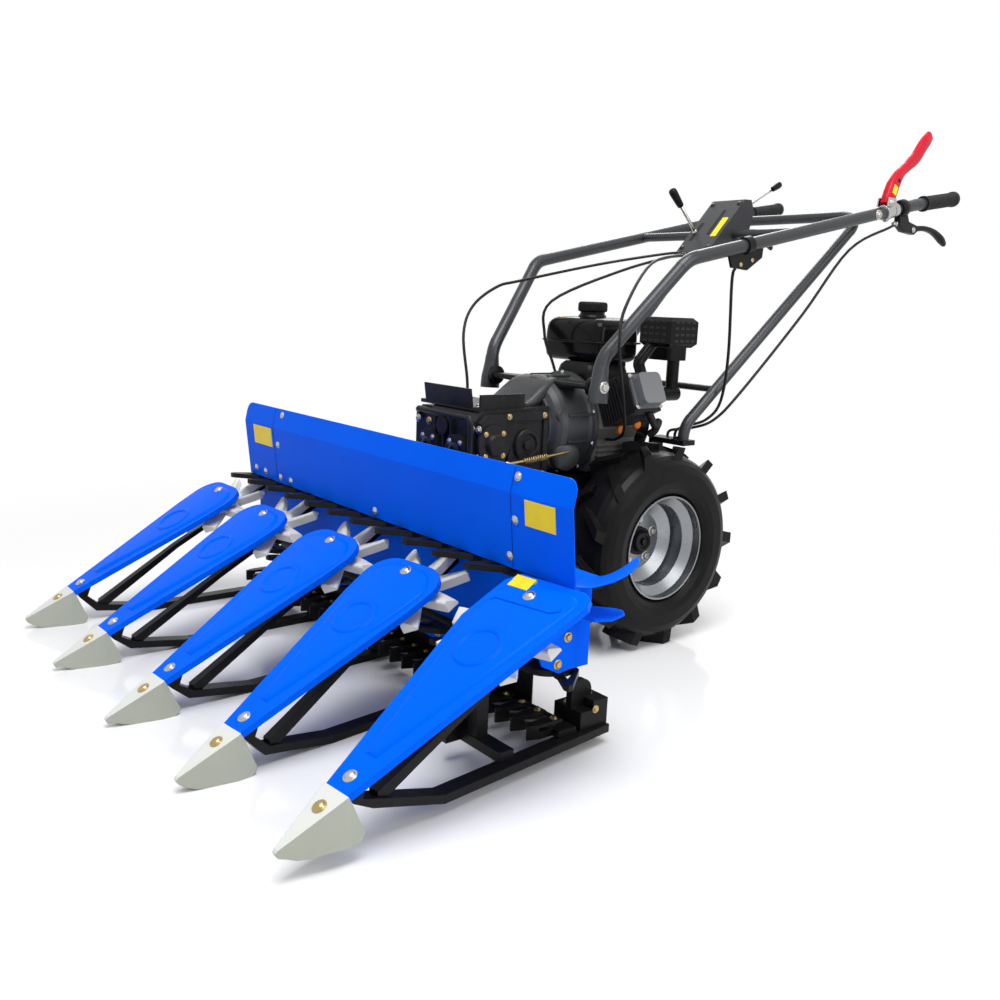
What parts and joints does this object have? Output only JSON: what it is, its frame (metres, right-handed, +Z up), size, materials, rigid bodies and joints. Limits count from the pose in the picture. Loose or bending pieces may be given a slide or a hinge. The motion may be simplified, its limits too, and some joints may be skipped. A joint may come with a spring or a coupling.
{
  "type": "walk-behind power reaper",
  "caption": "Two-wheeled walk-behind power reaper with petrol engine, handlebars and a front header of sloping crop dividers, star wheels, lug conveyors and a reciprocating knife.",
  "frame": {"origin": "on the floor under the middle of the whole machine", "axes": "+X forwards towards the crop dividers, +Y to the operator's left, +Z up"},
  "size_m": [2.2193, 1.4018, 1.2525],
  "materials": {
    "tyre": "matte",
    "rim_paint": "satin",
    "cast_black": "satin",
    "housing_grey": "satin",
    "engine_black": "gloss",
    "black_plastic": "satin",
    "tube_grey": "satin",
    "console_grey": "satin",
    "grip_rubber": "matte",
    "red_paint": "gloss",
    "blue_paint": "gloss",
    "nose_paint": "gloss",
    "white_plastic": "satin",
    "bare_steel": "brushed",
    "black_steel": "satin",
    "cable_black": "satin"
  },
  "bodies": {
    "root": {"gearbox_case": "cast_black", "gearbox_front": "cast_black", "clutch_housing": "housing_grey", "engine_mount": "black_steel", "engine_block": "cast_black", "cylinder_head": "cast_black", "fan_housing": "engine_black", "recoil_starter": "engine_black", "fuel_tank": "engine_black", "fuel_cap": "black_plastic", "muffler": "engine_black", "air_cleaner": "black_plastic", "handle_bracket": "black_steel", "handlebar_left": "tube_grey", "handlebar_right": "tube_grey", "loop_left": "tube_grey", "loop_right": "tube_grey", "loop_bar": "tube_grey", "console_bar": "tube_grey", "console": "console_grey", "gear_levers": "black_steel", "grip_left": "grip_rubber", "grip_right": "grip_rubber", "clutch_lever": "red_paint", "brake_levers": "black_steel", "lever_quadrant": "black_steel", "control_cables": "cable_black", "header_mount": "cast_black", "header_frame": "blue_paint", "end_plates": "blue_paint", "header_board": "blue_paint", "chain_rails": "black_steel", "conveyor_upper": "black_steel", "conveyor_lower": "black_steel", "sprockets": "black_steel", "cutter_bar": "black_steel", "knife_drive": "black_steel", "crop_guides": "blue_paint", "divider_a": "blue_paint", "divider_b": "blue_paint", "divider_c": "blue_paint", "divider_d": "blue_paint", "divider_e": "blue_paint", "divider_noses": "nose_paint", "divider_struts": "black_steel", "skids": "black_steel", "star_shafts": "bare_steel"},
    "wheel_left": {"tyre_left": "tyre", "rim_left": "rim_paint", "hub_left": "black_steel"},
    "wheel_right": {"tyre_right": "tyre", "rim_right": "rim_paint", "hub_right": "black_steel"},
    "knife": {"knife": "bare_steel"},
    "star_a": {"star_a": "white_plastic"},
    "star_b": {"star_b": "white_plastic"},
    "star_c": {"star_c": "white_plastic"},
    "star_d": {"star_d": "white_plastic"},
    "star_e": {"star_e": "white_plastic"}
  },
  "joints": [
    {"name": "wheel_left_spin", "type": "hinge", "parent": "root", "child": "wheel_left", "pos_m": [-0.082, 0.22305, 0.235], "axis": [0, 1, 0], "continuous": true},
    {"name": "wheel_right_spin", "type": "hinge", "parent": "root", "child": "wheel_right", "pos_m": [-0.082, -0.13695, 0.235], "axis": [0, 1, 0], "continuous": true},
    {"name": "star_a_spin", "type": "hinge", "parent": "root", "child": "star_a", "pos_m": [0.633, -0.58675, 0.27537], "axis": [0.4772, 0.0024, 0.8788], "continuous": true},
    {"name": "star_b_spin", "type": "hinge", "parent": "root", "child": "star_b", "pos_m": [0.633, -0.30569, 0.27535], "axis": [0.4767, 0.02, 0.8788], "continuous": true},
    {"name": "star_c_spin", "type": "hinge", "parent": "root", "child": "star_c", "pos_m": [0.633, 0.00098, 0.2753], "axis": [0.4755, 0.0398, 0.8788], "continuous": true},
    {"name": "star_d_spin", "type": "hinge", "parent": "root", "child": "star_d", "pos_m": [0.633, 0.28189, 0.2752], "axis": [0.4733, 0.0602, 0.8788], "continuous": true},
    {"name": "star_e_spin", "type": "hinge", "parent": "root", "child": "star_e", "pos_m": [0.63722, 0.56366, 0.27511], "axis": [0.4742, 0.0529, 0.8788], "continuous": true},
    {"name": "knife_slide", "type": "slide", "parent": "root", "child": "knife", "axis": [0, 1, 0], "range_m": [-0.025, 0.025]}
  ]
}
